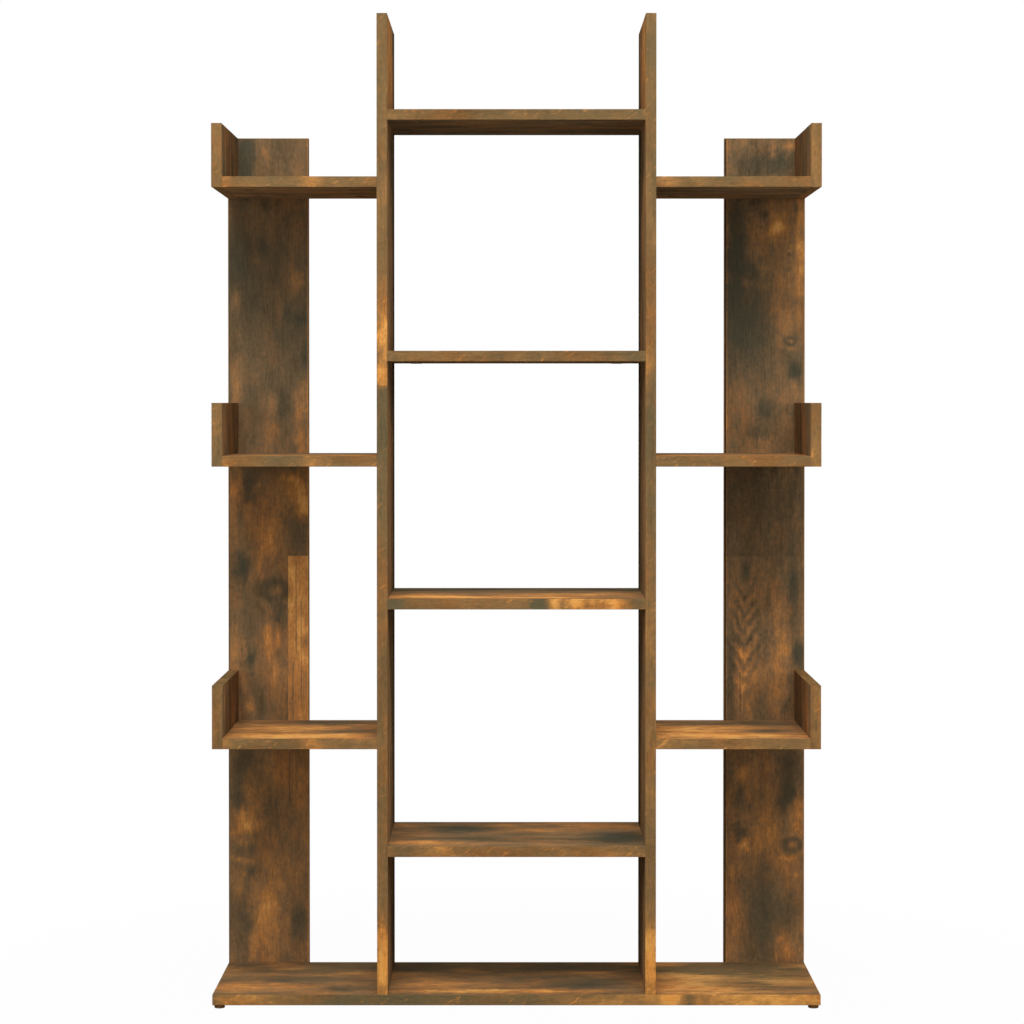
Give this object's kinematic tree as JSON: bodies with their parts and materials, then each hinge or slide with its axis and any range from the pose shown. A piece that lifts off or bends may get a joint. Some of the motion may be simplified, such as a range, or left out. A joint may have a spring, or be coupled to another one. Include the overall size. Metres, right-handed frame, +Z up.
{
  "type": "bookcase",
  "caption": "Open bookcase on a full-width base: two inner uprights with shelves between them, and side shelves with end lips in front of slim back panels.",
  "frame": {"origin": "on the floor, under the middle of the overall box", "axes": "+X to the viewer's right across the front, +Y to the back, +Z up; the front faces -Y"},
  "size_m": [0.86, 0.255, 1.405],
  "materials": {
    "oak_board": "matt melamine with a smoked oak grain",
    "oak_edging": "matt edging strip with a smoked oak grain",
    "brown_plastic": "moulded, matt",
    "zinc": "die cast, satin",
    "steel": "bright zinc plated",
    "beech": "fluted beech dowel, unfinished"
  },
  "bodies": {
    "root": {"base_panel": "oak_board", "left_upright": "oak_board", "right_upright": "oak_board", "centre_shelf_1": "oak_board", "centre_shelf_2": "oak_board", "centre_shelf_3": "oak_board", "centre_shelf_4": "oak_board", "left_shelf_1": "oak_board", "left_shelf_2": "oak_board", "left_shelf_3": "oak_board", "right_shelf_1": "oak_board", "right_shelf_2": "oak_board", "right_shelf_3": "oak_board", "left_end_lip_1": "oak_board", "left_end_lip_2": "oak_board", "left_end_lip_3": "oak_board", "right_end_lip_1": "oak_board", "right_end_lip_2": "oak_board", "right_end_lip_3": "oak_board", "left_back_panel": "oak_board", "right_back_panel": "oak_board", "base_panel_edging": "oak_edging", "left_upright_edging": "oak_edging", "right_upright_edging": "oak_edging", "centre_shelf_1_edging": "oak_edging", "centre_shelf_2_edging": "oak_edging", "centre_shelf_3_edging": "oak_edging", "centre_shelf_4_edging": "oak_edging", "left_shelf_1_edging": "oak_edging", "left_shelf_2_edging": "oak_edging", "left_shelf_3_edging": "oak_edging", "right_shelf_1_edging": "oak_edging", "right_shelf_2_edging": "oak_edging", "right_shelf_3_edging": "oak_edging", "left_end_lip_1_edging": "oak_edging", "left_end_lip_2_edging": "oak_edging", "left_end_lip_3_edging": "oak_edging", "right_end_lip_1_edging": "oak_edging", "right_end_lip_2_edging": "oak_edging", "right_end_lip_3_edging": "oak_edging", "left_back_panel_edging": "oak_edging", "right_back_panel_edging": "oak_edging", "centre_shelf_cams": "zinc", "centre_shelf_cam_bolts": "steel", "centre_shelf_cam_caps": "brown_plastic", "centre_shelf_dowels": "beech", "left_shelf_cams": "zinc", "left_shelf_cam_bolts": "steel", "left_shelf_cam_caps": "brown_plastic", "left_shelf_dowels": "beech", "right_shelf_cams": "zinc", "right_shelf_cam_bolts": "steel", "right_shelf_cam_caps": "brown_plastic", "right_shelf_dowels": "beech", "upright_screws": "steel", "upright_dowels": "beech", "back_panel_screws": "steel", "feet": "brown_plastic", "foot_nails": "steel"}
  },
  "joints": []
}
